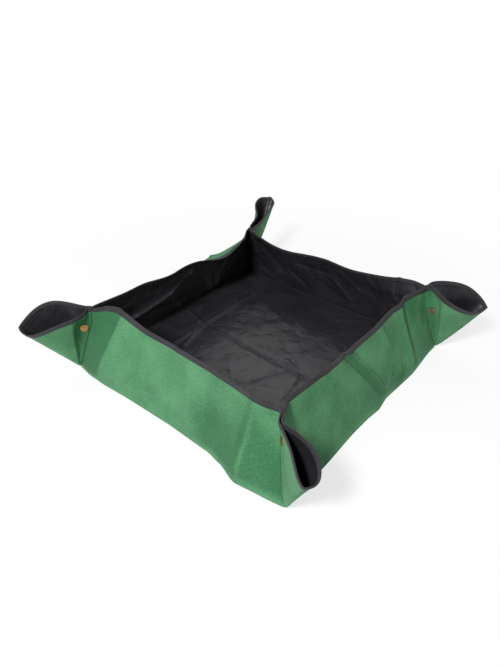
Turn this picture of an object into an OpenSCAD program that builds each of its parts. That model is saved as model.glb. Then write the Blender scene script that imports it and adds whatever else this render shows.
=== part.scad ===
// Potting soil tray: one square two-layer mat whose four corners are pinched
// and held by press studs, so that its sides stand up as walls.
// Millimetres. The base lies on z = 0, centred on the origin.
// Corners in order: left (-x +y), front (-x -y), right (+x -y), back (+x +y).
// Walls in order: front left (-x), front right (-y), back right (+x),
// back left (+y). Corner k joins wall k and the wall before it.

/* [Mat] */
// Side of the square mat, laid flat
sheet_side = 680; // [600:10:760]
// Radius of the mat's rounded corners
corner_r = 90; // [30:5:110]
// Thickness of the woven outer sheet
outer_t = 0.6; // [0.4:0.1:1.2]
// Thickness of the coated liner
liner_t = 0.4; // [0.3:0.1:0.8]

/* [Tray] */
// Side of the tray's floor, between the wall folds
base_side = 440; // [400:5:480]
// Side of the rim, between the pinched corners
rim_side = 380; // [340:5:400]

/* [Ears] */
// Turn of the left ear about its crease, from straight outward
lean_left = -5; // [-15:1:15]
// Turn of the front ear
lean_front = -8; // [-15:1:15]
// Turn of the right ear
lean_right = 22; // [0:1:24]
// Turn of the back ear
lean_back = 20; // [0:1:24]
// Half width of the open loop at each ear
loop_half_w = 27; // [12:1:34]
// Angle from the crease over which both layers run together
touch_a = 15; // [14:0.5:20]

/* [Binding] */
// Width of the folded tape on each face
bind_w = 7.5; // [5:0.5:12]
// Thickness of the tape
bind_t = 0.5; // [0.3:0.1:0.8]

/* [Press studs] */
// Distance of a press stud from the rim, along the crease
snap_down = 42; // [30:1:50]
// Distance of a press stud from the crease
snap_in = 8.5; // [8.5:0.5:11]
// Radius of the domed cap
cap_r = 7.5; // [6:0.1:8]
// Height of the dome
cap_h = 2.2; // [1.4:0.1:3]
// Radius of the socket's rim
socket_r = 6; // [4.5:0.1:7]
// Height of the socket
socket_h = 1.9; // [1.7:0.1:2.3]
// Radius of the stud's knob
knob_r = 2.6; // [2.4:0.1:3.2]
// Radius of the stud's flange and of the eyelet's
flange_r = 5.5; // [4.5:0.1:6.5]
// Thickness of those two flanges
flange_t = 0.7; // [0.5:0.05:0.8]
// Outer radius of the eyelet's tube
tube_r = 2; // [1.7:0.05:2.1]
// Radius of the eyelet's open hole
hole_r = 1.5; // [1:0.1:1.5]
// Radius of the cap's post
post_r = 1.5; // [1:0.1:1.8]

/* [Clearances] */
// Clear space between the two layers of an ear, which a closed stud fills
snap_gap = 3; // [2.8:0.1:3.6]
// Running clearance of the knob in the socket
fit = 0.06; // [0.03:0.01:0.1]
// Clearance between a wall and its neighbours at a fold
fold_gap = 0.3; // [0.2:0.05:0.6]
// Clearance between pieces that lie on each other
lay_gap = 0.03; // [0.02:0.01:0.06]

/* [Hidden] */
sheet_t = outer_t + liner_t;
slant = (sheet_side - base_side) / 2;
inset = (base_side - rim_side) / 2;
wall_h = sqrt(slant * slant - inset * inset);
wall_lean = asin(inset / slant);
crease_a = atan(inset / slant);
crease_l = sqrt(slant * slant + inset * inset);
ear_a = 45 + crease_a;
ear_off = sheet_t / 2 + snap_gap / 2;
arc_c = sheet_side / 2 - corner_r - base_side / 2;
edge_back = bind_t + lay_gap;
snap_up = crease_l - snap_down;
socket_back = 0.4;
loop_steps = 12;
root_share = 0.06;
wall_turn = [180, -90, 0, 90];
sx = [-1, -1, 1, 1];
sy = [1, -1, -1, 1];
lean = [lean_left, lean_front, lean_right, lean_back];
GREEN = [0.22, 0.5, 0.33];
CHARCOAL = [0.2, 0.2, 0.22];
TAPE = [0.28, 0.27, 0.3];
BRASS = [0.7, 0.55, 0.25];
BRONZE = [0.45, 0.3, 0.22];
$fn = 48;

function unit(v) = v / norm(v);
function foot_pt(k) = [sx[k] * base_side / 2, sy[k] * base_side / 2, sheet_t / 2];
function crease_dir(k) = unit([-sx[k] * inset, -sy[k] * inset, wall_h]);
function out0(k) = let (d = [sx[k], sy[k], 0] / sqrt(2), c = crease_dir(k))
    unit(d - (d * c) * c);
// In the ear's plane, square to the crease
function ear_out(k) = let (o = out0(k), c = crease_dir(k))
    cos(lean[k]) * o + sin(lean[k]) * cross(o, c);
function ear_n(k) = cross(ear_out(k), crease_dir(k));
// Side 1 of corner k hangs on the wall before it, side -1 on wall k
function wall_of(k, side) = side > 0 ? (k + 3) % 4 : k;
// In the wall's plane, square to the crease and into the wall
function into_wall(k, side) = let (
    t = wall_turn[wall_of(k, side)],
    n = [cos(wall_lean) * cos(t), cos(wall_lean) * sin(t), sin(wall_lean)],
    a = unit(cross(n, crease_dir(k))))
    a * [-sx[k], -sy[k], 0] > 0 ? a : -a;
// How far the fold lies inside the wall, so that the layers clear each other
function shift(k, side) = ear_off / abs(into_wall(k, side) * ear_n(k));
function fold_pt(k, side) = foot_pt(k) + shift(k, side) * into_wall(k, side);
// How far the ear is turned at its fold, from straight on
function fold_turn(k, side) = acos(-(into_wall(k, side) * ear_out(k)));
// Both layers, with the tape, stop this far from a fold
function set_back(k, side) = max(sheet_t / 2 + fold_gap,
    fold_gap / 2 + (sheet_t / 2 + lay_gap + bind_t) * tan(fold_turn(k, side) / 2));
// Distance from the floor's corner to the mat's edge, at a degrees from the crease
function edge_r(a) = let (
    g = 90 + crease_a - a,
    r = slant / sin(g),
    b = (cos(g) + sin(g)) * arc_c)
    r * cos(g) < arc_c ? r : b + sqrt(b * b - 2 * arc_c * arc_c + corner_r * corner_r);

// Columns of an ear: [angle, opening share, crosswise shift, end share]
function cols(k, side) = concat(
    [[0, 0, set_back(k, side), 0], [0, 0, shift(k, side), 0], [touch_a / 2, 0, shift(k, side), 0]],
    [for (i = [0 : loop_steps]) let (t = 180 * i / loop_steps)
        [touch_a + (ear_a - touch_a) * (1 - cos(t)) / 2,
         sin(t) * pow(sin(t / 2), 1.2), shift(k, side), pow((1 - cos(t)) / 2, 4)]]);
function mid_pt(k, side, c, rho) = let (
    r = rho * edge_r(c[0]),
    w = rho * (loop_half_w * c[1] - (ear_off - fold_gap) * c[3]))
    fold_pt(k, side) + r * cos(c[0]) * crease_dir(k)
    + (r * sin(c[0]) + c[2]) * ear_out(k) + side * w * ear_n(k);
// One cross-section of a swept piece: pts are [distance in from the edge, height
// off the cloth's middle], an edge distance below 0 stands for the ear's root
function ring(k, side, cs, i, pts) = let (
    p = mid_pt(k, side, cs[i], 1),
    r = mid_pt(k, side, cs[i], root_share),
    v = unit(p - r),
    q1 = mid_pt(k, side, cs[min(i + 1, len(cs) - 1)], 1),
    q0 = mid_pt(k, side, cs[max(i - 1, 0)], 1),
    n = side * unit(cross(q1 - q0, v)))
    [for (q = pts) (q[0] < 0 ? r : p - q[0] * v) + q[1] * n];

module swept(k, side, pts, caps) {
    cs = cols(k, side);
    n = len(cs);
    m = len(pts);
    points = [for (i = [0 : n - 1]) each ring(k, side, cs, i, pts)];
    sides = [for (i = [0 : n - 2], j = [0 : m - 1]) let (
        a = i * m + j, b = i * m + (j + 1) % m, c = b + m, d = a + m)
        each [[a, b, c], [a, c, d]]];
    ends = [for (t = caps) each [[t[2], t[1], t[0]],
        [for (x = t) (n - 1) * m + x]]];
    faces = concat(sides, ends);
    polyhedron(points, side > 0 ? [for (f = faces) [f[2], f[1], f[0]]] : faces,
        convexity = 8);
}

module on_snap(k, side) {
    z = side * ear_n(k);
    x = crease_dir(k);
    y = cross(z, x);
    q = foot_pt(k) + snap_up * x + snap_in * ear_out(k);
    multmatrix([[x[0], y[0], z[0], q[0]], [x[1], y[1], z[1], q[1]],
                [x[2], y[2], z[2], q[2]], [0, 0, 0, 1]]) children();
}

module ear_layer(k, side, low, high, snap_hole) {
    difference() {
        swept(k, side, [[edge_back, low], [edge_back, high], [-1, high], [-1, low]],
            [[0, 1, 2], [0, 2, 3]]);
        on_snap(k, side) cylinder(h = 4 * ear_off, r = snap_hole + fit);
    }
}
module ear_outer(k, side) color(GREEN)
    ear_layer(k, side, sheet_t / 2 - outer_t + lay_gap, sheet_t / 2,
        side * cap_side(k) > 0 ? post_r : tube_r);
module ear_liner(k, side) color(CHARCOAL)
    ear_layer(k, side, -sheet_t / 2, -sheet_t / 2 + liner_t,
        side * cap_side(k) > 0 ? post_r : tube_r);
function tape_pts() = let (a = sheet_t / 2 + lay_gap, b = a + bind_t)
    [[bind_w, a], [bind_w, b], [0, b], [0, -b], [bind_w, -b], [bind_w, -a],
     [bind_t, -a], [bind_t, a]];
module ear_binding(k, side) color(TAPE)
    swept(k, side, [for (i = [7 : -1 : 0]) tape_pts()[i]],
        [[5, 6, 7], [5, 7, 0], [0, 1, 4], [0, 4, 5], [1, 2, 3], [1, 3, 4]]);

// A wall is drawn flat, x along the fold, y up the wall, z outward
module on_wall(w) rotate([0, 0, wall_turn[w]])
    translate([base_side / 2, 0, sheet_t / 2])
    rotate([0, -wall_lean, 0]) rotate([90, 0, 90]) children();
// The wall's left end, seen from outside, is corner w's, the other the next one's
function end_x(w, e, s, back) = let (k = e > 0 ? (w + 1) % 4 : w, side = e > 0 ? 1 : -1)
    e * (base_side / 2 - inset * s / slant
    - (shift(k, side) + back * set_back(k, side)) / cos(crease_a));
module wall_shape(w, s0, s1, back) polygon([
    [end_x(w, -1, s0, back), s0], [end_x(w, 1, s0, back), s0],
    [end_x(w, 1, s1, back), s1], [end_x(w, -1, s1, back), s1]]);
module wall_outer(w) color(GREEN) on_wall(w) {
    translate([0, 0, sheet_t / 2 - outer_t + lay_gap])
        linear_extrude(outer_t - lay_gap)
        wall_shape(w, 0, slant - edge_back, 1);
    // The rounded fold that the wall turns on
    translate([end_x(w, -1, 0, 1), 0, 0]) rotate([0, 90, 0])
        cylinder(h = end_x(w, 1, 0, 1) - end_x(w, -1, 0, 1), r = sheet_t / 2);
}
module wall_liner(w) color(CHARCOAL) on_wall(w)
    translate([0, 0, -sheet_t / 2])
    linear_extrude(liner_t)
    wall_shape(w, sheet_t / 2 + lay_gap, slant - edge_back, 1);
module wall_binding(w) color(TAPE) on_wall(w) {
    e0 = end_x(w, -1, slant, 1);
    e1 = end_x(w, 1, slant, 1);
    translate([e0, 0, 0]) rotate([90, 0, 90]) linear_extrude(e1 - e0)
        polygon([for (q = tape_pts()) [slant - q[0], q[1]]]);
}
base_edge = base_side - sheet_t - 2 * fold_gap;
module base_outer() color(GREEN)
    translate([-base_edge / 2, -base_edge / 2, 0])
    cube([base_edge, base_edge, outer_t]);
module base_liner() color(CHARCOAL)
    translate([-base_edge / 2, -base_edge / 2, outer_t + lay_gap])
    cube([base_edge, base_edge, liner_t]);

// Caps and sockets sit on the front left and back right walls' ears
function cap_side(k) = k % 2 == 0 ? -1 : 1;
out_face = ear_off + sheet_t / 2 + lay_gap;
in_face = snap_gap / 2 - lay_gap;
module cap(k) color(BRASS) on_snap(k, cap_side(k)) {
    rim = cap_h / 3;
    translate([0, 0, out_face]) rotate_extrude()
        polygon(concat([[0, 0], [cap_r, 0], [cap_r, rim]],
            [for (t = [15 : 15 : 90]) [cap_r * cos(t), rim + (cap_h - rim) * sin(t)]]));
    translate([0, 0, in_face - socket_back])
        cylinder(h = out_face + rim - in_face + socket_back, r = post_r);
}
module socket(k) color(BRASS) on_snap(k, cap_side(k)) difference() {
    translate([0, 0, in_face - socket_h]) cylinder(h = socket_h, r = socket_r);
    translate([0, 0, in_face - socket_h - 1])
        cylinder(h = socket_h + 1 - socket_back, r = knob_r + fit);
    translate([0, 0, in_face - socket_h])
        cylinder(h = 2 * socket_h, r = post_r + fit);
}
module stud(k) color(BRONZE) on_snap(k, -cap_side(k)) {
    // Knob height reaches into the socket, short of its back
    reach = 2 * in_face - flange_t - socket_back - fold_gap;
    difference() {
        union() {
            translate([0, 0, in_face - flange_t]) cylinder(h = flange_t, r = flange_r);
            translate([0, 0, in_face - flange_t - reach])
                cylinder(h = reach + flange_t / 2, r = knob_r);
        }
        translate([0, 0, in_face - flange_t - reach + socket_back])
            cylinder(h = 4 * snap_gap, r = tube_r + fit);
    }
}
module eyelet(k) color(BRONZE) on_snap(k, -cap_side(k)) difference() {
    union() {
        translate([0, 0, out_face]) cylinder(h = flange_t, r = flange_r);
        translate([0, 0, in_face - flange_t])
            cylinder(h = out_face + flange_t / 2 - in_face + flange_t, r = tube_r);
    }
    translate([0, 0, -snap_gap]) cylinder(h = 6 * snap_gap, r = hole_r);
}

base_outer();
base_liner();
wall_outer(0);  // front_left_outer
wall_liner(0);  // front_left_liner
wall_binding(0);  // front_left_binding
wall_outer(1);  // front_right_outer
wall_liner(1);  // front_right_liner
wall_binding(1);  // front_right_binding
wall_outer(2);  // back_right_outer
wall_liner(2);  // back_right_liner
wall_binding(2);  // back_right_binding
wall_outer(3);  // back_left_outer
wall_liner(3);  // back_left_liner
wall_binding(3);  // back_left_binding
ear_outer(0, -1);  // left_ear_fl_outer
ear_liner(0, -1);  // left_ear_fl_liner
ear_binding(0, -1);  // left_ear_fl_binding
ear_outer(0, 1);  // left_ear_bl_outer
ear_liner(0, 1);  // left_ear_bl_liner
ear_binding(0, 1);  // left_ear_bl_binding
ear_outer(1, -1);  // front_ear_fr_outer
ear_liner(1, -1);  // front_ear_fr_liner
ear_binding(1, -1);  // front_ear_fr_binding
ear_outer(1, 1);  // front_ear_fl_outer
ear_liner(1, 1);  // front_ear_fl_liner
ear_binding(1, 1);  // front_ear_fl_binding
ear_outer(2, -1);  // right_ear_br_outer
ear_liner(2, -1);  // right_ear_br_liner
ear_binding(2, -1);  // right_ear_br_binding
ear_outer(2, 1);  // right_ear_fr_outer
ear_liner(2, 1);  // right_ear_fr_liner
ear_binding(2, 1);  // right_ear_fr_binding
ear_outer(3, -1);  // back_ear_bl_outer
ear_liner(3, -1);  // back_ear_bl_liner
ear_binding(3, -1);  // back_ear_bl_binding
ear_outer(3, 1);  // back_ear_br_outer
ear_liner(3, 1);  // back_ear_br_liner
ear_binding(3, 1);  // back_ear_br_binding
cap(0);  // left_cap
socket(0);  // left_socket
stud(0);  // left_stud
eyelet(0);  // left_eyelet
cap(1);  // front_cap
socket(1);  // front_socket
stud(1);  // front_stud
eyelet(1);  // front_eyelet
cap(2);  // right_cap
socket(2);  // right_socket
stud(2);  // right_stud
eyelet(2);  // right_eyelet
cap(3);  // back_cap
socket(3);  // back_socket
stud(3);  // back_stud
eyelet(3);  // back_eyelet
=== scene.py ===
"""Potting soil tray: a two-layer cloth mat with pinched, press-studded corners."""
import math
from functools import lru_cache

import bmesh
import bpy
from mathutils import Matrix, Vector, noise


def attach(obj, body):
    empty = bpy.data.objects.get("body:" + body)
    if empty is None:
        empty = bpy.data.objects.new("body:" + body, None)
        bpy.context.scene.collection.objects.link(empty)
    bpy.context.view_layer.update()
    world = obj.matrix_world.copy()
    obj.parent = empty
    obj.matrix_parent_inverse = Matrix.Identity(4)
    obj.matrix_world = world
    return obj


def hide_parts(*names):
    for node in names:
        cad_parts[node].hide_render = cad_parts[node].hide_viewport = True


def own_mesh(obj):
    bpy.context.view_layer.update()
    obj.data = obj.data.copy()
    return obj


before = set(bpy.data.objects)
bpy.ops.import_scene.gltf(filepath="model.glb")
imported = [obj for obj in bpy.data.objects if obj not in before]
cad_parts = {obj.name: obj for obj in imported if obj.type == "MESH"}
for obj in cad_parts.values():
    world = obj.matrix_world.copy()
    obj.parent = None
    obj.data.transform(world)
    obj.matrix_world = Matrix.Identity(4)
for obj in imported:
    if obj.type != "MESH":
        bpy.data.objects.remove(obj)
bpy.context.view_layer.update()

MM = 0.001
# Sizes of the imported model, in millimetres
SHEET_SIDE, CORNER_R = 680.0, 90.0
OUTER_T, LINER_T = 0.6, 0.4
BASE_SIDE, RIM_SIDE = 440.0, 380.0
LEAN = (-5.0, -8.0, 22.0, 20.0)
LOOP_HALF_W = 27.0
BIND_W, BIND_T = 7.5, 0.5
SNAP_GAP = 3.0
SHEET_T = OUTER_T + LINER_T
SLANT = (SHEET_SIDE - BASE_SIDE) / 2
INSET = (BASE_SIDE - RIM_SIDE) / 2
WALL_H = math.sqrt(SLANT**2 - INSET**2)
WALL_LEAN = math.asin(INSET / SLANT)
CREASE_A = math.atan(INSET / SLANT)
EAR_A = math.pi / 4 + CREASE_A
EAR_OFF = (SHEET_T + SNAP_GAP) / 2
ARC_C = SHEET_SIDE / 2 - CORNER_R - BASE_SIDE / 2

WALLS = ("front_left", "front_right", "back_right", "back_left")
SHORT = ("fl", "fr", "br", "bl")
CORNERS = ("left", "front", "right", "back")
TURN = tuple(math.radians(a) for a in (180, -90, 0, 90))
SX, SY = (-1, -1, 1, 1), (1, -1, -1, 1)
Z = Vector((0, 0, 1))


# ---------------------------------------------------------------- the tray's planes
@lru_cache(maxsize=None)
def foot_pt(k):
    """The floor's corner k, where the ear's crease starts."""
    return Vector((SX[k] * BASE_SIDE / 2, SY[k] * BASE_SIDE / 2, SHEET_T / 2))


@lru_cache(maxsize=None)
def crease_dir(k):
    """Up along the crease between two walls."""
    return Vector((-SX[k] * INSET, -SY[k] * INSET, WALL_H)).normalized()


@lru_cache(maxsize=None)
def ear_out(k):
    """The way ear k points, across its crease."""
    d, c = Vector((SX[k], SY[k], 0)).normalized(), crease_dir(k)
    o = (d - d.dot(c) * c).normalized()
    a = math.radians(LEAN[k])
    return math.cos(a) * o + math.sin(a) * o.cross(c)


@lru_cache(maxsize=None)
def ear_n(k):
    """The way ear k faces, from its first half to its second."""
    return ear_out(k).cross(crease_dir(k))


def wall_of(k, side):
    """The wall beside one half of ear k."""
    return (k + 3) % 4 if side > 0 else k


@lru_cache(maxsize=None)
def wall_axes(w):
    """Along the fold, up the wall and outward, as unit vectors."""
    out = Vector((math.cos(TURN[w]), math.sin(TURN[w]), 0))
    up = -math.sin(WALL_LEAN) * out + math.cos(WALL_LEAN) * Z
    normal = math.cos(WALL_LEAN) * out + math.sin(WALL_LEAN) * Z
    return Z.cross(out), up, normal, out


@lru_cache(maxsize=None)
def into_wall(k, side):
    """Along the wall, away from its fold with ear k."""
    a = wall_axes(wall_of(k, side))[2].cross(crease_dir(k)).normalized()
    return a if a.dot(Vector((-SX[k], -SY[k], 0))) > 0 else -a


@lru_cache(maxsize=None)
def shift(k, side):
    """How far that fold lies from the corner's crease."""
    return EAR_OFF / abs(into_wall(k, side).dot(ear_n(k)))


@lru_cache(maxsize=None)
def fold_pt(k, side):
    return foot_pt(k) + shift(k, side) * into_wall(k, side)


def edge_r(a):
    """Distance from the floor's corner to the mat's edge, at angle a from the crease."""
    g = math.pi / 2 + CREASE_A - a
    r = SLANT / math.sin(g)
    if r * math.cos(g) < ARC_C:
        return r
    b = (math.cos(g) + math.sin(g)) * ARC_C
    return b + math.sqrt(b * b - 2 * ARC_C**2 + CORNER_R**2)


def smooth(t):
    """From 0 to 1 without a corner at either end."""
    t = max(0.0, min(1.0, t))
    return t * t * (3 - 2 * t)


# ---------------------------------------------------------------- the cloth's middle
# Rounded fold between floor and wall: radius, turn, length used up on each side
FOLD_R = 0.8
FOLD_TURN = math.pi / 2 + WALL_LEAN
FOLD_TAN = FOLD_R * math.tan(FOLD_TURN / 2)
# How far the floor's cloth runs into the fold, so that no gap shows when it opens
HEM = FOLD_TAN + 0.2
# Share of a wall's rows that go round the fold
BEND_SHARE = 0.12
# Share of a table's step that is eased
TABLE_EASE = 0.4


def bell(x, at, width):
    return math.exp(-(((x - at) / width) ** 2))


def along_table(x, table):
    """Smooth curve through (x, value) pairs."""
    if x <= table[0][0]:
        return table[0][1]
    for (x0, y0), (x1, y1) in zip(table, table[1:]):
        if x <= x1:
            t = (x - x0) / (x1 - x0)
            return y0 + (y1 - y0) * ((1 - TABLE_EASE) * t + TABLE_EASE * smooth(t))
    return table[-1][1]


# A pressed crease: how soon it fades at its ends, how blunt its top is and how steep
CREASE_FADE, CREASE_BLUNT, CREASE_STEEP = 0.12, 0.03, 1.5
ROOF_BLUNT = 6.0


def crease_line(x, y, a, b, width, right_width=None):
    """Profile of a pressed crease from a down to b, fading at its ends.

    With a width for each side it is a roof of two flat slopes, which doesn't fade."""
    dx, dy = b[0] - a[0], b[1] - a[1]
    length = math.hypot(dx, dy)
    t = ((x - a[0]) * dx + (y - a[1]) * dy) / length
    d = ((x - a[0]) * dy - (y - a[1]) * dx) / length
    if right_width and d < 0:
        width = right_width
    if t < -width or t > length + width:
        return 0.0
    if right_width:
        return max(0.0, 1 - math.sqrt(d * d + ROOF_BLUNT) / width)
    fade = CREASE_FADE * length + width
    ends = smooth((t + width) / fade) * smooth((length + width - t) / fade)
    return ends * math.exp(-math.sqrt((d / width) ** 2 + CREASE_BLUNT) * CREASE_STEEP)


# How far the foot of each front wall is pushed out, by its place along the wall
FOOT_OUT_X = (
    (-220, 17), (-186, 22), (-150, 27), (-116, 14), (-85, 8),
    (0, 4), (90, 4), (150, 6), (185, 5), (220, 0),
)
FOOT_OUT_Y = ((-220, 15), (-150, 13), (-60, 8), (-20, 8), (8, 10), (40, 5), (120, 7), (200, 0))
# Where that push starts on the floor, how soon it is whole and how it fades up the wall
FOOT_OUT_FROM, FOOT_OUT_RUN, FOOT_OUT_FADE = 120, 95, 1.4

# Places where the slumped cloth has moved: centre, reach, movement and lowest height,
# above which the movement grows over SLUMP_RUN
SLUMPS = (
    ((190, -190), 60, (17, 1, 2), 86),
    ((-190, 190), 45, (-3.5, 4.5, 0), 86),
    ((-240, 235), 45, (0, 0, 4.5), 80),
    ((275, 288), 60, (9, -7, 5), 30),
    ((226, 228), 26, (9, -11, 0), 84),
)
SLUMP_RUN = 34
# The floor's corners are drawn in and up a little by the pinched ears
CORNER_PULL, CORNER_RISE, CORNER_REACH = 0.9, 0.6, 2.5


def settle(p):
    """Moves the ideal cloth to where the used tray's cloth has slumped."""
    up = max(0.0, 1 - p.z / WALL_H)
    fade = up**FOOT_OUT_FADE
    fx = along_table(p.y, FOOT_OUT_X) * smooth((-p.x - FOOT_OUT_FROM) / FOOT_OUT_RUN)
    fy = along_table(p.x, FOOT_OUT_Y) * smooth((-p.y - FOOT_OUT_FROM) / FOOT_OUT_RUN)
    d = Vector((-fx * fade, -fy * fade, 0))
    for (x, y), reach, move, low in SLUMPS:
        near = ((p.x - x) / reach) ** 2 + ((p.y - y) / reach) ** 2
        if near < 9:
            d += Vector(move) * (smooth((p.z - low) / SLUMP_RUN) if low else 1.0) * math.exp(-near)
    for k in range(4):
        c = foot_pt(k)
        r = (p - c).length
        if r < 8:
            pull = Vector((-SX[k] * CORNER_PULL, -SY[k] * CORNER_PULL, CORNER_RISE))
            d += pull * math.exp(-((r / CORNER_REACH) ** 2))
    return p + d


def lift(r):
    """Share of the ear's gap reached at distance r from the floor's corner."""
    return smooth(r / 14)


def end_x(w, end, q):
    """Where the wall's cloth ends along the fold, at path length q from it."""
    k = (w + 1) % 4 if end > 0 else w
    gap = shift(k, 1 if end > 0 else -1)
    return end * (BASE_SIDE / 2 + min(q, 0.0) - INSET * max(q, 0.0) / SLANT
                  - gap * math.cos(CREASE_A) * lift(max(q, 0.0) / math.cos(CREASE_A)))


def foot_path(q):
    """Outward distance, height and turn of the rounded fold at path length q."""
    if q <= -FOLD_TAN:
        return BASE_SIDE / 2 + q, 0.0, 0.0
    if q >= FOLD_TAN:
        return BASE_SIDE / 2 - q * math.sin(WALL_LEAN), q * math.cos(WALL_LEAN), FOLD_TURN
    a = FOLD_TURN * (q + FOLD_TAN) / (2 * FOLD_TAN)
    return BASE_SIDE / 2 - FOLD_TAN + FOLD_R * math.sin(a), FOLD_R - FOLD_R * math.cos(a), a


# The front left wall's two long ridges, beyond which its cloth turns towards the ears
LEFT_RIDGE, FRONT_RIDGE = ((-131, 130), (-167, 0)), ((152, 130), (149, 0))

# Pressed creases on each wall: from and to (along, up), height outward and width, or the
# widths of both sides
WALL_CREASES = (
    (
        (*LEFT_RIDGE, 9.0, 46, 110), (*FRONT_RIDGE, 9.0, 90, 52), ((30, 24), (78, -4), 3.4, 6),
        ((188, 64), (150, 6), 2.8, 7), ((-60, 90), (-120, 20), 0.8, 20),
        ((60, 100), (100, 10), -1.2, 22), ((-10, 60), (60, 20), -0.8, 14),
    ),
    (
        ((-44, 126), (34, 6), -5.5, 6), ((-34, 126), (46, 8), 4.5, 7),
        ((-88, 116), (-47, 34), 3.0, 9), ((92, 34), (84, -4), 3.4, 5),
        ((36, 10), (62, 30), 3.0, 6), ((36, 8), (-26, -4), 3.4, 6),
        ((40, 12), (90, 24), 2.8, 6), ((132, 122), (128, 10), 6.0, 22, 18),
        ((66, 112), (80, 60), 2.2, 12), ((-150, 110), (-110, 30), -0.9, 24),
        ((-60, 112), (-90, 60), 0.9, 8),
    ),
    (
        ((180, 22), (142, 6), -4.2, 5), ((122, 56), (144, 2), -4.8, 5.5),
        ((69, 84), (0, 76), 3.4, 14), ((0, 77), (-44, 30), -4.0, 9),
        ((-140, 128), (-143, 74), 3.4, 5), ((-24, 100), (-68, 66), -3.4, 9),
        ((170, 96), (118, 44), 4.6, 13), ((53, 12), (100, 62), 3.6, 12),
        ((-150, 60), (-110, 10), 1.4, 12), ((160, 4), (200, 60), 1.6, 9),
        ((20, 30), (70, 4), -1.4, 8),
    ),
    (
        ((106, 46), (19, 66), -7.5, 9), ((22, 66), (-28, 90), -8.0, 9),
        ((-24, 88), (-54, 112), -6.5, 8), ((-50, 110), (-110, 4), -7.0, 8),
        ((-108, 4), (-142, 92), -5.5, 7), ((-110, 6), (-182, 88), -4.5, 8),
        ((-84, 104), (-112, 34), 7.0, 11), ((64, 92), (6, 98), 6.0, 11),
        ((16, 46), (-24, -4), -3.6, 4.5), ((66, 36), (-30, 18), 6.0, 10),
        ((150, 80), (96, 84), -2.0, 12), ((-150, 60), (-190, 20), 2.0, 10),
        ((170, 50), (110, 10), 1.8, 12), ((-20, 40), (-80, 14), 2.0, 9),
        ((-60, 60), (-30, 30), -1.8, 8),
    ),
)


# How far the front walls' rims have moved in, by the place along them
FRONT_LEFT_RIM_IN = (
    (-196, 0), (-147, 22), (-60, 15), (0, 9.5), (110, 4), (150, 1.5), (190, 0),
)
FRONT_RIGHT_RIM_IN = (
    (-194, 0), (-166, 11), (-130, 9), (-44, 5), (40, 7), (100, 12), (148, 17), (178, 7), (194, 0),
)


def wall_lean_in(w, x):
    """Inward movement of the rim."""
    if w == 2:
        return 15 * bell(x, 95, 75) + 8 * bell(x, -50, 50) - 3 * smooth((-x - 110) / 50)
    if w == 3:
        return 3 * bell(x, -100, 50) + 8 * bell(x, 35, 42) + 2 * bell(x, 130, 40)
    return along_table(x, FRONT_LEFT_RIM_IN if w == 0 else FRONT_RIGHT_RIM_IN)


def rim_drop(w, x):
    """How far the rim sags, or rises where it is below zero."""
    if w == 2:
        return 7 * bell(x, 100, 80) + 2 * bell(x, -50, 50)
    if w == 3:
        return 4 * bell(x, 35, 36) - 2.5 * bell(x, -45, 26)
    return -12 * bell(x, -143, 42) if w == 0 else 0.0


def rim_curl(w, x):
    """How far the top of the back left wall flops inward, as an angle."""
    return 1.25 * bell(x, -98, 78) if w == 3 else 0.0


# How far each wall's cloth bows out between its fold and its rim
BOW = (2.5, 3.0, 5.0, 4.0)


def wall_relief(w, x, s):
    """How far the cloth stands out of its plane, outward positive."""
    t = s / SLANT
    n = 1.3 * noise.noise(Vector((x / 60, s / 45, 7.3 * w + 1.7)))
    n += 0.45 * noise.noise(Vector((x / 19, s / 26, 3.1 * w + 9.2)))
    for a, b, high, *widths in WALL_CREASES[w]:
        n += high * crease_line(x, s, a, b, *widths)
    n -= wall_lean_in(w, x) * t**1.4
    return n + BOW[w] * math.sin(math.pi * min(1, t)) * (0.6 + 0.4 * math.sin(x / 31 + w))


@lru_cache(maxsize=None)
def mitre(k, side):
    """The direction in which both cloths' faces meet at the fold of an ear."""
    a, b = wall_axes(wall_of(k, side))[2], ear_n(k) * side
    return (a + b) / (1 + a.dot(b))


# Over these lengths the wall's relief grows from its edges, and both cloths' faces meet
EDGE_RUN, MITRE_RUN = 26, 6
# The rim's flop: how far down the wall it starts, and the length of its bend
CURL_RUN, CURL_BEND = 26, 9.0


@lru_cache(maxsize=60000)
def wall_frame(w, u, q):
    """The middle of wall w's cloth and its outward direction."""
    end = 1 if u > 0 else -1
    x = abs(u) * end_x(w, end, q)
    along, up, normal, out = wall_axes(w)
    o, h, turn = foot_path(q)
    n = math.sin(turn) * out - math.cos(turn) * Z
    edge = (1 - abs(u)) * BASE_SIDE / 2
    k, side = ((w + 1) % 4, 1) if end > 0 else (w, -1)
    if q > FOLD_TAN and edge < MITRE_RUN:
        n = mitre(k, side).lerp(n, smooth(edge / MITRE_RUN))
    p = out * o + Z * (h + SHEET_T / 2) + along * x
    if q > FOLD_TAN:
        ends = smooth(edge / EDGE_RUN)
        low = smooth((q - FOLD_TAN) / EDGE_RUN)
        drop = rim_drop(w, x) * (q / SLANT) ** 2 * ends
        p += normal * wall_relief(w, x, q) * ends * low - up * drop
        turned = rim_curl(w, x) * ends
        if turned > 0.01:
            run = q - (SLANT - CURL_RUN)
            if run > 0:
                bend, straight = min(run, CURL_BEND), max(0.0, run - CURL_BEND)
                radius = CURL_BEND / turned
                a = bend / radius
                p -= up * (run - radius * math.sin(a) - straight * math.cos(a))
                p -= normal * (radius * (1 - math.cos(a)) + straight * math.sin(a))
                n = n * math.cos(a) + up * math.sin(a)
    return settle(p), n


def beyond(x, y, a, b):
    """How far a place lies to the right of the line down from a to b."""
    dx, dy = b[0] - a[0], b[1] - a[1]
    return ((y - a[1]) * dx - (x - a[0]) * dy) / math.hypot(dx, dy)


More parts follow.
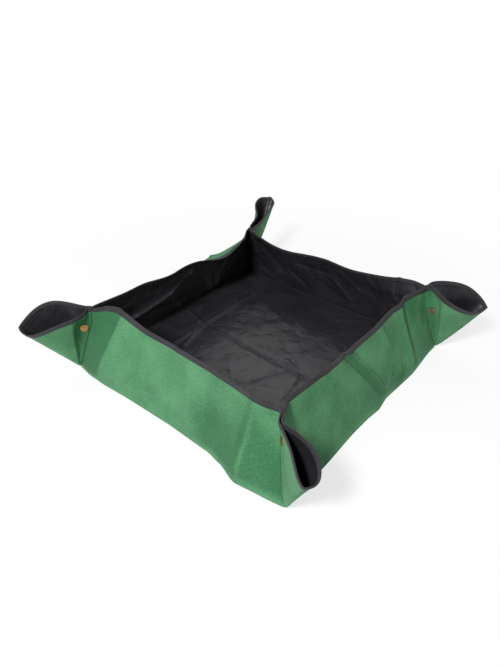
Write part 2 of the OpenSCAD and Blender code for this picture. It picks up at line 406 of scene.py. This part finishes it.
def front_left_painted_shade(x, q):
    """Painted shade towards the front ear, with a painted highlight as a pale line along the ridge.
    """
    crease = beyond(x, q, *FRONT_RIDGE)
    low = smooth((x - 20) / 70) * (0.9 - 0.72 * smooth((q - 34) / 72))
    low *= 1 - 0.7 * max(0.0, 1 - abs(crease - 5) / 6)
    return low + (0.6 - 0.3 * smooth(q / 110)) * max(0.0, 1 - abs(crease + 5) / 7)


def painted_wall_shade(w, u, q):
    """Painted shade, from 0 to 1: darker where the cloth turns sideways out of its wall's plane,
    over whole facets of the front left wall, and towards the foot of the front right wall.
    """
    if q < FOLD_TAN:
        return 0.0
    x, edge = u * (BASE_SIDE / 2 - INSET * q / SLANT), (1 - abs(u)) * BASE_SIDE / 2
    slope = (wall_relief(w, x + 2, q) - wall_relief(w, x - 2, q)) / 4
    turn = smooth((abs(slope) - 0.08) / 0.4) * smooth(edge / 12)
    # painted shade over the whole facet beyond the left ridge, and the front left wall's painted
    # shade towards its front ear
    if w == 0:
        left = smooth(beyond(x, q, *LEFT_RIDGE) / -5)
        turn = max(turn * 0.6, left, front_left_painted_shade(x, q))
    # painted shade over the front right wall, darker towards its foot
    elif w == 1:
        turn = max(turn, 0.14 + 0.2 * (1 - smooth((q - 20) / 60)))
    return min(1.0, turn) * smooth(q / 14)


def painted_layer_shading(w, face, u, q):
    """Painted shading: the outer cloth's painted shade, and on the liner painted highlights where
    it is creased, with painted light over most of the crumpled back left wall.
    """
    if face > 0:
        return painted_wall_shade(w, u, q)
    if w != 3:
        return 0.12 * painted_wall_shade(w, u, q)
    # painted light over the middle of the back left wall's liner
    inward = smooth((1 - abs(u)) / 0.35) * smooth(q / 45)
    return 0.34 * inward + 0.5 * painted_wall_shade(w, u, q)


def wall_point(w, u, q, off=0.0):
    """A point of wall w's cloth: u from -1 to 1 along it, q up it, off outward."""
    p, n = wall_frame(w, u, q)
    return p + n * off


# Share by which each ear's cloth reaches further at its tip
EAR_REACH = (0.0, 0.01, -0.12, 0.19)
# How wide each ear's opening is, as a share of the full loop
EAR_WIDE = (0.98, 0.8, 0.92, 0.82)
# How much painted shade darkens each ear's cloth beside the walls
EAR_PAINTED_SHADE = (1.0, 0.3, 0.7, 0.0)
# Share of an ear's edge, and its angle in degrees, over which its two halves lie together
PINCH = 0.2
EAR_TOUCH = (3.0, 15.0, 4.0, 9.0)
# How the slumped ears hang: the pull at their pinch, on their two lips and at their tip
EAR_HANG = (
    ((0, 0, 0), (6, -20, -16), (4, -5, -2), (0, -9, -7)),
    ((-6, 8, 0), (0, 1, 1), (2, -7, -4), (2, 1, 3)),
    ((1, 4, 3), (-6, 12, 10), (-22, 12, 0), (22, 15, -3)),
    ((-9, -3, -6), (-3, 1, -9), (-6, 0, -15), (6, -4, 4)),
)


def ear_hang(k, side, t):
    """Movement of the edge of a slumped ear at t, from its fold to its tip."""
    pinch, first, second, tip = EAR_HANG[k]
    open_t = max(0.0, (t - PINCH) / (1 - PINCH))
    return (
        Vector(pinch) * (smooth(t / PINCH) * (1 - smooth(open_t * 1.6)))
        + Vector(first if side < 0 else second) * math.sin(math.pi * open_t**1.3)
        + Vector(tip) * smooth(open_t * 1.6 - 0.6)
    )


def ear_column(k, side, t):
    """An ear at t, from its fold to its tip: angle, crosswise shift, half width, closing."""
    touch = math.radians(EAR_TOUCH[k])
    if t < PINCH:
        return touch * t / PINCH, shift(k, side) * min(1.0, t / 0.015), 0.0, 0.0
    a = math.pi * (t - PINCH) / (1 - PINCH)
    turned = (1 - math.cos(a)) / 2
    angle = touch + (EAR_A - touch) * turned
    a = min(a, math.pi - 1e-7)
    half = EAR_WIDE[k] * LOOP_HALF_W * math.sin(a) ** 0.7 * math.sin(a / 2) ** 1.5
    return angle, shift(k, side), half, turned**4


def ear_r(k, angle):
    """Distance from the floor's corner to the slumped ear's edge."""
    return edge_r(angle) * (1 + EAR_REACH[k] * smooth(angle / EAR_A))


# The part of an ear that its press stud holds: angle and share of the radius, each with
# the length over which the hold fades
STUD_ANGLE, STUD_RADIUS = (0.2, 0.22), (0.74, 0.24)


def near_stud(angle, rho):
    """1 where an ear's halves are held together by their press stud, fading to 0 around it."""
    across = smooth((angle - STUD_ANGLE[0]) / STUD_ANGLE[1])
    up = smooth((rho - STUD_RADIUS[0]) / STUD_RADIUS[1])
    return (1 - across) * (1 - up)


def ear_mid(k, side, t, rho):
    """The middle of an ear's cloth at t along its edge and rho out from the floor's corner."""
    angle, cross, w, closed = ear_column(k, side, t)
    free = 1 - near_stud(angle, rho)
    w *= free
    r = rho * ear_r(k, angle)
    up = lift(r)
    wave = 0.0
    if w > 0:
        at = Vector((angle * 3.5, rho * 2.2, 5.0 * k + 2.5 * side))
        wave = 1.6 * rho * noise.noise(at) * min(1.0, w / 8)
    return (
        foot_pt(k)
        + into_wall(k, side) * (shift(k, side) * up)
        + crease_dir(k) * (r * math.cos(angle))
        + ear_out(k) * (r * math.sin(angle) + cross * up)
        + ear_n(k) * (side * (rho * w + wave - EAR_OFF * closed * up))
        + ear_hang(k, side, t) * (free * rho**1.3)
    )


# Share of an ear's edge over which its faces turn from the fold's
EAR_MITRE = 0.04


def ear_normal(k, side, t, rho):
    """The outward direction of an ear's cloth, from its neighbouring places."""
    h = 0.004
    t0, t1 = max(0.02, t - h), min(1.0, max(t, 0.02) + h)
    r = max(rho, 0.12)
    along = ear_mid(k, side, t1, r) - ear_mid(k, side, t0, r)
    up = ear_mid(k, side, t, r) - ear_mid(k, side, t, r - 0.08)
    n = (side * along.cross(up)).normalized()
    return mitre(k, side).lerp(n, smooth(t / EAR_MITRE)) if t < EAR_MITRE else n


@lru_cache(maxsize=60000)
def ear_frame(k, side, t, d):
    """The middle of an ear's cloth, d in from its edge, and its outward direction."""
    r = ear_r(k, ear_column(k, side, t)[0])
    rho = max(0.0, 1 - d / r)
    return settle(ear_mid(k, side, t, rho)), ear_normal(k, side, t, rho)


def ear_point(k, side, t, d, off=0.0):
    """A point of an ear's cloth, d in from its edge and off outward."""
    p, n = ear_frame(k, side, t, d)
    return p + n * off


# ---------------------------------------------------------------- materials
def node(tree, kind, **settings):
    """A new node with its settings."""
    n = tree.nodes.new(kind)
    for key, value in settings.items():
        setattr(n, key, value)
    return n


def principled(name):
    """A new material, its node tree and its main shader."""
    m = bpy.data.materials.new(name)
    m.use_nodes = True
    return m, m.node_tree, m.node_tree.nodes["Principled BSDF"]


def grain_group():
    """Fine woven grain: a value that varies over the yarns and one for soft blotches."""
    g = bpy.data.node_groups.new("woven_grain", "ShaderNodeTree")
    face = g.interface
    for name, value in (("Yarn", 900.0), ("Blotch", 60.0)):
        s = face.new_socket(name, in_out="INPUT", socket_type="NodeSocketFloat")
        s.default_value = value
    face.new_socket("Vector", in_out="INPUT", socket_type="NodeSocketVector")
    face.new_socket("Weave", in_out="OUTPUT", socket_type="NodeSocketFloat")
    face.new_socket("Patches", in_out="OUTPUT", socket_type="NodeSocketFloat")
    i, o = node(g, "NodeGroupInput"), node(g, "NodeGroupOutput")
    waves = []
    for direction in ("X", "Y"):
        v = node(g, "ShaderNodeTexWave", bands_direction=direction, wave_profile="SIN")
        v.inputs["Distortion"].default_value = 0.8
        v.inputs["Detail Scale"].default_value = 0.6
        g.links.new(i.outputs["Vector"], v.inputs["Vector"])
        g.links.new(i.outputs["Yarn"], v.inputs["Scale"])
        waves.append(v)
    both = node(g, "ShaderNodeMath", operation="MULTIPLY")
    g.links.new(waves[0].outputs["Fac"], both.inputs[0])
    g.links.new(waves[1].outputs["Fac"], both.inputs[1])
    slub = node(g, "ShaderNodeTexNoise")
    slub.inputs["Scale"].default_value = 380.0
    slub.inputs["Detail"].default_value = 4.0
    g.links.new(i.outputs["Vector"], slub.inputs["Vector"])
    add = node(g, "ShaderNodeMath", operation="MULTIPLY_ADD")
    add.inputs[1].default_value = 1.5
    g.links.new(slub.outputs["Fac"], add.inputs[0])
    g.links.new(both.outputs[0], add.inputs[2])
    g.links.new(add.outputs[0], o.inputs["Weave"])
    patch = node(g, "ShaderNodeTexNoise")
    patch.inputs["Detail"].default_value = 3.0
    g.links.new(i.outputs["Vector"], patch.inputs["Vector"])
    g.links.new(i.outputs["Blotch"], patch.inputs["Scale"])
    g.links.new(patch.outputs["Fac"], o.inputs["Patches"])
    return g


GRAIN = grain_group()


# How far the painted shade held in the turned attribute drops the cloth towards its dark colour
PAINTED_SHADE_DROP = 0.62


def woven(name, dark, light, yarn, roughness, bump, sheen, blotch=18.0, share=0.5):
    """Woven cloth: two shades worked over by its grain, darkened by painted shade where the turned
    attribute says, with a fine bump.
    """
    m, t, p = principled(name)
    uv = node(t, "ShaderNodeUVMap", uv_map="cloth")
    g = node(t, "ShaderNodeGroup", node_tree=GRAIN)
    g.inputs["Yarn"].default_value = yarn
    g.inputs["Blotch"].default_value = blotch
    t.links.new(uv.outputs[0], g.inputs["Vector"])
    blend = node(t, "ShaderNodeMath", operation="MULTIPLY_ADD")
    blend.inputs[1].default_value = share
    even = node(t, "ShaderNodeMapRange")
    even.inputs["From Min"].default_value = 0.75
    even.inputs["From Max"].default_value = 1.65
    # painted shade: the turned attribute drops the green cloth towards its dark colour
    turned = node(t, "ShaderNodeAttribute", attribute_name="turned")
    painted_darkening = node(t, "ShaderNodeMath", operation="MULTIPLY_ADD")
    painted_darkening.inputs[1].default_value = -PAINTED_SHADE_DROP
    ramp = node(t, "ShaderNodeValToRGB")
    ramp.color_ramp.elements[0].color = (*dark, 1)
    ramp.color_ramp.elements[1].color = (*light, 1)
    t.links.new(g.outputs["Weave"], blend.inputs[0])
    t.links.new(g.outputs["Patches"], blend.inputs[2])
    t.links.new(turned.outputs["Fac"], painted_darkening.inputs[0])
    t.links.new(blend.outputs[0], painted_darkening.inputs[2])
    t.links.new(painted_darkening.outputs[0], even.inputs["Value"])
    t.links.new(even.outputs[0], ramp.inputs[0])
    t.links.new(ramp.outputs[0], p.inputs["Base Color"])
    b = node(t, "ShaderNodeBump")
    b.inputs["Strength"].default_value = bump
    b.inputs["Distance"].default_value = 0.0004
    t.links.new(g.outputs["Weave"], b.inputs["Height"])
    t.links.new(b.outputs[0], p.inputs["Normal"])
    p.inputs["Roughness"].default_value = roughness
    p.inputs["Sheen Weight"].default_value = sheen
    p.inputs["Sheen Roughness"].default_value = 0.4
    return m


def coated_liner():
    """Smooth coated cloth with soft creases, paled by painted highlights where the turned attribute
    says.
    """
    m, t, p = principled("coated_liner")
    uv = node(t, "ShaderNodeUVMap", uv_map="cloth")
    big = node(t, "ShaderNodeTexNoise")
    big.inputs["Scale"].default_value = 14.0
    big.inputs["Detail"].default_value = 3.0
    big.inputs["Distortion"].default_value = 0.6
    t.links.new(uv.outputs[0], big.inputs["Vector"])
    veins = node(t, "ShaderNodeTexVoronoi", feature="DISTANCE_TO_EDGE")
    veins.inputs["Scale"].default_value = 11.0
    warp = node(t, "ShaderNodeTexNoise")
    warp.inputs["Scale"].default_value = 9.0
    warp.inputs["Detail"].default_value = 4.0
    t.links.new(uv.outputs[0], warp.inputs["Vector"])
    shift_uv = node(t, "ShaderNodeMix", data_type="VECTOR")
    shift_uv.inputs["Factor"].default_value = 0.12
    t.links.new(uv.outputs[0], shift_uv.inputs[4])
    t.links.new(warp.outputs["Color"], shift_uv.inputs[5])
    t.links.new(shift_uv.outputs[1], veins.inputs["Vector"])
    vein_ramp = node(t, "ShaderNodeMapRange")
    vein_ramp.inputs["From Max"].default_value = 0.09
    vein_ramp.inputs["To Min"].default_value = 0.0
    vein_ramp.inputs["To Max"].default_value = 1.0
    t.links.new(veins.outputs["Distance"], vein_ramp.inputs["Value"])
    b1 = node(t, "ShaderNodeBump")
    b1.inputs["Strength"].default_value = 0.8
    b1.inputs["Distance"].default_value = 0.009
    t.links.new(big.outputs["Fac"], b1.inputs["Height"])
    b2 = node(t, "ShaderNodeBump")
    b2.inputs["Strength"].default_value = 0.3
    b2.inputs["Distance"].default_value = 0.0018
    t.links.new(vein_ramp.outputs[0], b2.inputs["Height"])
    t.links.new(b1.outputs[0], b2.inputs["Normal"])
    fine = node(t, "ShaderNodeTexNoise")
    fine.inputs["Scale"].default_value = 700.0
    t.links.new(uv.outputs[0], fine.inputs["Vector"])
    b3 = node(t, "ShaderNodeBump")
    b3.inputs["Strength"].default_value = 0.12
    b3.inputs["Distance"].default_value = 0.0003
    t.links.new(fine.outputs["Fac"], b3.inputs["Height"])
    t.links.new(b2.outputs[0], b3.inputs["Normal"])
    t.links.new(b3.outputs[0], p.inputs["Normal"])
    ramp = node(t, "ShaderNodeValToRGB")
    ramp.color_ramp.elements[0].color = (0.013, 0.013, 0.0155, 1)
    ramp.color_ramp.elements[1].color = (0.022, 0.022, 0.026, 1)
    ramp.color_ramp.elements[0].position = 0.3
    ramp.color_ramp.elements[1].position = 0.75
    t.links.new(big.outputs["Fac"], ramp.inputs[0])
    # painted light: the liner is mixed towards a paler grey where the turned attribute marks
    # painted highlights
    turned = node(t, "ShaderNodeAttribute", attribute_name="turned")
    painted_highlight_mix = node(t, "ShaderNodeMix", data_type="RGBA")
    painted_highlight_mix.inputs[7].default_value = (0.085, 0.085, 0.095, 1)
    t.links.new(turned.outputs["Fac"], painted_highlight_mix.inputs[0])
    t.links.new(ramp.outputs[0], painted_highlight_mix.inputs[6])
    t.links.new(painted_highlight_mix.outputs[2], p.inputs["Base Color"])
    rough = node(t, "ShaderNodeMapRange")
    rough.inputs["To Min"].default_value = 0.34
    rough.inputs["To Max"].default_value = 0.5
    t.links.new(fine.outputs["Fac"], rough.inputs["Value"])
    t.links.new(rough.outputs[0], p.inputs["Roughness"])
    return m


def metal(name, light, dark, roughness, wear_scale):
    """Metal with patches of wear, a little rougher where it is dark."""
    m, t, p = principled(name)
    tc = node(t, "ShaderNodeTexCoord")
    n = node(t, "ShaderNodeTexNoise")
    n.inputs["Scale"].default_value = wear_scale
    n.inputs["Detail"].default_value = 5.0
    t.links.new(tc.outputs["Object"], n.inputs["Vector"])
    ramp = node(t, "ShaderNodeValToRGB")
    ramp.color_ramp.elements[0].position = 0.35
    ramp.color_ramp.elements[1].position = 0.7
    ramp.color_ramp.elements[0].color = (*dark, 1)
    ramp.color_ramp.elements[1].color = (*light, 1)
    t.links.new(n.outputs["Fac"], ramp.inputs[0])
    t.links.new(ramp.outputs[0], p.inputs["Base Color"])
    r = node(t, "ShaderNodeMapRange")
    r.inputs["To Min"].default_value = roughness + 0.12
    r.inputs["To Max"].default_value = roughness
    t.links.new(n.outputs["Fac"], r.inputs["Value"])
    t.links.new(r.outputs[0], p.inputs["Roughness"])
    p.inputs["Metallic"].default_value = 1.0
    return m


green = woven(
    "green_woven", (0.018, 0.13, 0.045), (0.125, 0.36, 0.17),
    yarn=350.0, roughness=0.85, bump=1.0, sheen=0.04, share=0.8,
)
tape_cloth = woven(
    "binding_tape", (0.012, 0.011, 0.014), (0.062, 0.057, 0.07),
    yarn=420.0, roughness=0.72, bump=0.6, sheen=0.05,
)
thread = woven(
    "stitch_thread", (0.012, 0.012, 0.014), (0.05, 0.047, 0.055),
    yarn=800.0, roughness=0.7, bump=0.3, sheen=0.05,
)
liner_cloth = coated_liner()
brass = metal("satin_brass", (0.50, 0.31, 0.11), (0.25, 0.14, 0.05), 0.3, 260.0)
bronze = metal("antique_bronze", (0.30, 0.18, 0.13), (0.12, 0.065, 0.045), 0.38, 300.0)


# ---------------------------------------------------------------- making the cloth
def add_piece(name, bm, material):
    """Makes a finished bmesh an object of its own."""
    mesh = bpy.data.meshes.new(name)
    bm.to_mesh(mesh)
    bm.free()
    obj = bpy.data.objects.new(name, mesh)
    bpy.context.scene.collection.objects.link(obj)
    mesh.materials.append(material)
    return obj


def cloth_grid(name, nu, nv, place, flat_uv, material, slot, flip, thick, turned=None):
    """A grid laid over place(u, v), u and v from 0 to 1, given its thickness inward.

    flat_uv is where its weave lies and turned gives its painted shading, painted shade on the green
    cloth and painted highlights on the liner, over the same u and v."""
    bm = bmesh.new()
    bmesh.ops.create_grid(bm, x_segments=nu, y_segments=nv, size=0.5)
    uvs = bm.loops.layers.uv.new("cloth")
    # the turned attribute holds painted shading: painted shade on the green cloth, painted
    # highlights on the liner
    shade = bm.verts.layers.float.new("turned")
    where = {}
    for v in bm.verts:
        where[v] = (v.co.x + 0.5, v.co.y + 0.5)
    for f in bm.faces:
        f.smooth = True
        for loop in f.loops:
            loop[uvs].uv = Vector(flat_uv(*where[loop.vert])) * MM
    for v in bm.verts:
        v.co = place(*where[v]) * MM
        v[shade] = turned(*where[v]) if turned else 0.0
    if flip:
        bmesh.ops.reverse_faces(bm, faces=bm.faces)
    obj = add_piece(name, bm, material)
    s = obj.modifiers.new("thickness", "SOLIDIFY")
    s.thickness, s.offset = thick * MM, -1.0
    finish_modifiers(obj)
    return obj


def finish_modifiers(obj):
    """Gives the object the mesh that its modifiers make."""
    bpy.context.view_layer.update()
    done = bpy.data.meshes.new_from_object(obj.evaluated_get(bpy.context.evaluated_depsgraph_get()))
    obj.modifiers.clear()
    old, obj.data = obj.data, done
    bpy.data.meshes.remove(old)


# Thickness left off each layer so that two layers never touch, and off the tape
LAYER_GAP, TAPE_GAP = 0.02, 0.1
# Each layer of cloth: name, offset of its outer face, thickness, finish, facing
LAYERS = (
    ("outer", SHEET_T / 2, OUTER_T - LAYER_GAP, green, 1),
    ("liner", -SHEET_T / 2, LINER_T - LAYER_GAP, liner_cloth, -1),
)


def u_profile(steps=5):
    """The folded tape's section as distances in from the edge and heights."""
    h = SHEET_T / 2 + 0.06 + BIND_T
    pts = [(BIND_W, h - 0.1)]
    pts += [(BIND_W * (1 - i / steps) + h * i / steps * 0.6, h) for i in range(1, steps)]
    turns = [math.radians(x) for x in (60, 30, 0, -30, -60)]
    arc = [(h * (1 - math.cos(a)) * 0.6, h * math.sin(a)) for a in turns]
    return pts + arc + [(d, -y) for d, y in reversed(pts)]


PROFILE = u_profile()


def tape_at(profile_t):
    """Distance in from the edge and height, from 0 to 1 round the tape's section."""
    i = profile_t * (len(PROFILE) - 1)
    a = min(int(i + 1e-6), len(PROFILE) - 2)
    f = i - a
    (d0, h0), (d1, h1) = PROFILE[a], PROFILE[a + 1]
    return d0 + (d1 - d0) * f, h0 + (h1 - h0) * f


def bend_rows(v):
    """Path length up a wall: many short steps round its foot, then even ones."""
    if v < BEND_SHARE:
        return -FOLD_TAN + 2 * FOLD_TAN * v / BEND_SHARE
    return FOLD_TAN + (SLANT - 1 - FOLD_TAN) * (v - BEND_SHARE) / (1 - BEND_SHARE)


# Points of the grids along a wall and up it, round an ear and out, along an ear's tape
# and across the floor
WALL_GRID, EAR_GRID, EAR_TAPE_GRID, FLOOR_GRID = (200, 72), (96, 44), 110, 180
# How far apart the pieces lie on the woven pattern, and the tape's length and width there
WALL_STEP, EAR_STEP = 500, 300
TAPE_RUN, TAPE_ROUND = 140, 18


def make_wall(w):
    """One wall's two cloths with its tape and stitches, attached to the wall's body."""
    name = WALLS[w]
    for layer, off, thick, material, face in LAYERS:
        piece = cloth_grid(
            f"{name}_{layer}_cloth", *WALL_GRID,
            lambda u, v: wall_point(w, 2 * u - 1, bend_rows(v), off),
            lambda u, v: (
                (2 * u - 1) * BASE_SIDE / 2 + WALL_STEP * w, BASE_SIDE / 2 + bend_rows(v)
            ),
            material, layer, face < 0, thick,
            lambda u, v: painted_layer_shading(w, face, 2 * u - 1, bend_rows(v)),
        )
        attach(piece, name)
        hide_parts(f"{name}_{layer}")
        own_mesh(piece)

    def tape(u, v):
        d, h = tape_at(v)
        return wall_point(w, 2 * u - 1, SLANT - d, h)

    binding = cloth_grid(
        f"{name}_tape", WALL_GRID[0], len(PROFILE) - 1, tape,
        lambda u, v: (u * RIM_SIDE + WALL_STEP * w, v * TAPE_ROUND),
        tape_cloth, "binding", False, BIND_T - TAPE_GAP,
    )
    fold_with(binding, name)
    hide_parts(f"{name}_binding")
    stitches = stitch_row(
        f"{name}_stitches", RIM_SIDE, lambda t, d, h: wall_point(w, 2 * t - 1, SLANT - d, h)
    )
    fold_with(stitches, name)


def fold_with(piece, body):
    """Attaches tape or stitches to the body of their cloth, so that they move with it."""
    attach(piece, body)
    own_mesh(piece)


# Stitches: distance between them, share of it that one covers, half of its thickness,
# distance in from the tape's edge and depth in the tape
STITCH_STEP, STITCH_SHARE, STITCH_R, STITCH_IN, STITCH_SUNK = 4.2, 0.66, 0.32, 1.4, 0.02


def stitch_row(name, length, place):
    """A row of short raised stitches on both faces of the tape."""
    bm = bmesh.new()
    count = int(length / STITCH_STEP)
    top = PROFILE[1][1] - STITCH_SUNK
    for face in (1, -1):
        for i in range(count):
            t = (i + 0.5) / count
            half = STITCH_SHARE / 2 / count
            a = place(t - half, BIND_W - STITCH_IN, face * top) * MM
            b = place(t + half, BIND_W - STITCH_IN, face * top) * MM
            spin = (b - a).to_track_quat("Z", "Y").to_matrix().to_4x4()
            spin.translation = (a + b) / 2
            made = bmesh.ops.create_uvsphere(bm, u_segments=6, v_segments=5, radius=1.0)
            r, half_long = STITCH_R * MM, (b - a).length / 2
            for v in made["verts"]:
                v.co = Vector((v.co.x * r, v.co.y * r, v.co.z * half_long))
            bmesh.ops.transform(bm, matrix=spin, verts=made["verts"])
    for f in bm.faces:
        f.smooth = True
    obj = add_piece(name, bm, thread)
    return obj


# Where an ear's cloth starts and ends under its tape and at the floor's corner
EAR_TUCK, EAR_FILL = 0.8, 0.992
# Where along an ear's edge its painted shade starts to fade, and over how much of it
EAR_PAINTED_SHADE_TO, EAR_PAINTED_SHADE_RUN = 0.22, 0.3


def make_ear(k, side):
    """One half of ear k: its two cloths with tape and stitches, attached to its own body."""
    w = wall_of(k, side)
    name = f"{CORNERS[k]}_ear_{SHORT[w]}"
    turned = side < 0
    for layer, off, thick, material, face in LAYERS:
        def place(u, v):
            r = ear_r(k, ear_column(k, side, u)[0])
            return ear_point(k, side, u, EAR_TUCK + (r - EAR_TUCK) * (1 - v) * EAR_FILL, off)

        def flat(u, v):
            a = ear_column(k, side, u)[0]
            r = v * edge_r(a)
            return r * math.cos(a) + 40, r * math.sin(a) * side + EAR_STEP * k

        # painted shade on the ear's green cloth beside its wall
        def dark(u, v):
            if face < 0:
                return 0.0
            return EAR_PAINTED_SHADE[k] * (1 - smooth((u - EAR_PAINTED_SHADE_TO) / EAR_PAINTED_SHADE_RUN))

        piece = cloth_grid(
            f"{name}_{layer}_cloth", *EAR_GRID, place, flat, material, layer,
            (face < 0) != turned, thick, dark,
        )
        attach(piece, name)
        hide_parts(f"{name}_{layer}")
        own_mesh(piece)

    def tape(u, v):
        d, h = tape_at(v)
        return ear_point(k, side, u, d, h)

    binding = cloth_grid(
        f"{name}_tape", EAR_TAPE_GRID, len(PROFILE) - 1, tape,
        lambda u, v: (u * TAPE_RUN + EAR_STEP * k, v * TAPE_ROUND),
        tape_cloth, "binding", turned, BIND_T - TAPE_GAP,
    )
    fold_with(binding, name)
    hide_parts(f"{name}_binding")
    stitches = stitch_row(
        f"{name}_stitches", TAPE_RUN - 2, lambda t, d, h: ear_point(k, side, t, d, h)
    )
    fold_with(stitches, name)


# Pressed creases of the floor: from and to, height, width
FLOOR_CREASES = (
    ((-214, 143), (224, 147), 6.0, 4), ((-214, 151), (216, 155), -3.6, 4),
    ((5, 150), (-14, -216), 5.4, 4), ((12, 146), (-7, -216), -3.0, 4),
    ((5, 148), (24, 218), 4.6, 4), ((5, 148), (-68, 126), 3.6, 5), ((6, 150), (62, 208), 1.9, 6),
    ((119, 218), (70, 180), 2.6, 7), ((119, 218), (150, 160), 2.2, 7),
    ((210, 210), (150, 165), 2.2, 8), ((200, 98), (120, 60), 1.9, 12),
    ((-70, -30), (-10, -60), 2.6, 7), ((15, -39), (-4, -88), 2.4, 6),
    ((-4, -84), (-70, -100), 2.6, 6), ((60, -20), (150, -70), 1.9, 14),
    ((-200, -20), (-120, -90), 1.8, 14), ((-170, 100), (-110, 40), 1.8, 12),
    ((140, 120), (100, 20), 1.6, 12), ((60, 100), (130, 20), -1.6, 12),
    ((-40, 40), (-90, -10), 1.6, 10),
)


def floor_relief(x, y):
    """Height of the liner's floor above where it lies flat."""
    edge = smooth((BASE_SIDE / 2 - max(abs(x), abs(y)) - 3) / 22)
    z = 1.3 + 1.5 * noise.noise(Vector((x / 70, y / 60, 2.2)))
    z += 0.55 * noise.noise(Vector((x / 26, y / 24, 4.2)))
    for a, b, high, width in FLOOR_CREASES:
        z += high * crease_line(x, y, a, b, width)
    return max(0.0, z) * edge


def make_floor():
    """The floor's two cloths, under and over the base."""
    half = BASE_SIDE / 2 - FOLD_TAN + HEM
    for layer, z, thick, material, face in (
        ("outer", 0.0, OUTER_T - LAYER_GAP, green, -1),
        ("liner", SHEET_T, LINER_T - LAYER_GAP, liner_cloth, 1),
    ):
        def place(u, v):
            x, y = (2 * u - 1) * half, (2 * v - 1) * half
            return settle(Vector((x, y, z + (floor_relief(x, y) if face > 0 else 0.0))))

        piece = cloth_grid(
            f"floor_{layer}_cloth", FLOOR_GRID, FLOOR_GRID, place,
            lambda u, v: ((2 * u - 1) * half, (2 * v - 1) * half),
            material, layer, face < 0, thick,
        )
        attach(piece, "base")
        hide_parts(f"base_{layer}")


make_floor()
for wall in range(4):
    make_wall(wall)
for corner in range(4):
    for half_side in (-1, 1):
        make_ear(corner, half_side)

for corner in CORNERS:
    for part, finish in (("cap", brass), ("socket", brass), ("stud", bronze), ("eyelet", bronze)):
        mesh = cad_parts[f"{corner}_{part}"].data
        mesh.materials.clear()
        mesh.materials.append(finish)


# ---------------------------------------------------------------- studio
def seen_or_mirrored(tree, mirrored=True):
    """1 where the camera sees a surface, itself or in metal and glass."""
    path = node(tree, "ShaderNodeLightPath")
    out = path.outputs["Is Camera Ray"]
    for name in ("Is Glossy Ray", "Is Transmission Ray") if mirrored else ():
        most = node(tree, "ShaderNodeMath", operation="MAXIMUM")
        tree.links.new(out, most.inputs[0])
        tree.links.new(path.outputs[name], most.inputs[1])
        out = most.outputs[0]
    return out


# The floor as the camera sees it: its share of white near the tray and far from it, and
# the distances between which that changes
NEAR_WHITE, NEAR, FAR = 0.72, 0.36, 0.75
AMBIENT = 0.22
# Lamps: place, watts and size
LAMPS = {
    "key": ((-1.85, -0.35, 2.0), 78, 0.5),
    "fill": ((1.9, -1.9, 0.9), 7, 1.2),
    "sheen": ((1.7, 1.4, 1.6), 20, 2.2),
}


def studio():
    """A pale floor, plain soft light and a white background."""
    scene = bpy.context.scene
    scene.view_settings.view_transform = "Standard"
    bm = bmesh.new()
    bmesh.ops.create_grid(bm, x_segments=1, y_segments=1, size=6.0)
    mesh = bpy.data.meshes.new("studio_floor")
    bm.to_mesh(mesh)
    bm.free()
    ground = bpy.data.objects.new("studio_floor", mesh)
    scene.collection.objects.link(ground)
    ground.location.z = -0.0005
    m, t, p = principled("studio_white")
    p.inputs["Base Color"].default_value = (0.9, 0.9, 0.9, 1)
    p.inputs["Roughness"].default_value = 0.9
    seen = seen_or_mirrored(t)
    where = node(t, "ShaderNodeTexCoord")
    far = node(t, "ShaderNodeVectorMath", operation="LENGTH")
    t.links.new(where.outputs["Object"], far.inputs[0])
    open_floor = node(t, "ShaderNodeMapRange")
    open_floor.inputs["From Min"].default_value = NEAR
    open_floor.inputs["From Max"].default_value = FAR
    open_floor.inputs["To Min"].default_value = NEAR_WHITE
    open_floor.inputs["To Max"].default_value = 1.0
    t.links.new(far.outputs["Value"], open_floor.inputs["Value"])
    share = node(t, "ShaderNodeMath", operation="MULTIPLY")
    t.links.new(seen, share.inputs[0])
    t.links.new(open_floor.outputs[0], share.inputs[1])
    white = node(t, "ShaderNodeEmission")
    white.inputs["Color"].default_value = (1, 1, 1, 1)
    mixed = node(t, "ShaderNodeMixShader")
    t.links.new(share.outputs[0], mixed.inputs[0])
    t.links.new(p.outputs[0], mixed.inputs[1])
    t.links.new(white.outputs[0], mixed.inputs[2])
    t.links.new(mixed.outputs[0], t.nodes["Material Output"].inputs["Surface"])
    mesh.materials.append(m)
    world = bpy.data.worlds.new("studio_light")
    scene.world = world
    world.use_nodes = True
    wt = world.node_tree
    bg = wt.nodes["Background"]
    bg.inputs[0].default_value = (1, 1, 1, 1)
    mix = node(wt, "ShaderNodeMapRange")
    mix.inputs["To Min"].default_value = AMBIENT
    mix.inputs["To Max"].default_value = 1.0
    wt.links.new(seen_or_mirrored(wt, False), mix.inputs["Value"])
    wt.links.new(mix.outputs[0], bg.inputs[1])
    for name, (at, power, size) in LAMPS.items():
        data = bpy.data.lights.new(name, "AREA")
        data.energy, data.size = power, size
        lamp = bpy.data.objects.new(name, data)
        scene.collection.objects.link(lamp)
        lamp.location = at
        lamp.rotation_euler = (-Vector(at)).to_track_quat("-Z", "Y").to_euler()


def camera():
    """Stands where the photograph was taken: lens and place fitted to its corners."""
    scene = bpy.context.scene
    azimuth, elevation, distance = math.radians(-50.47), math.radians(36.75), 1.05
    focal_px, long_px, centre_x, centre_y = 600.0, 666.0, 12.0, 23.0
    back = Vector((
        math.sin(azimuth) * math.cos(elevation),
        -math.cos(azimuth) * math.cos(elevation),
        math.sin(elevation),
    ))
    data = bpy.data.cameras.new("photo_camera")
    data.sensor_width = 36.0
    data.lens = 36.0 * focal_px / long_px
    data.shift_x, data.shift_y = -centre_x / long_px, centre_y / long_px
    eye = bpy.data.objects.new("photo_camera", data)
    scene.collection.objects.link(eye)
    eye.location = back * distance
    eye.rotation_euler = (-back).to_track_quat("-Z", "Y").to_euler()
    scene.camera = eye


studio()
camera()
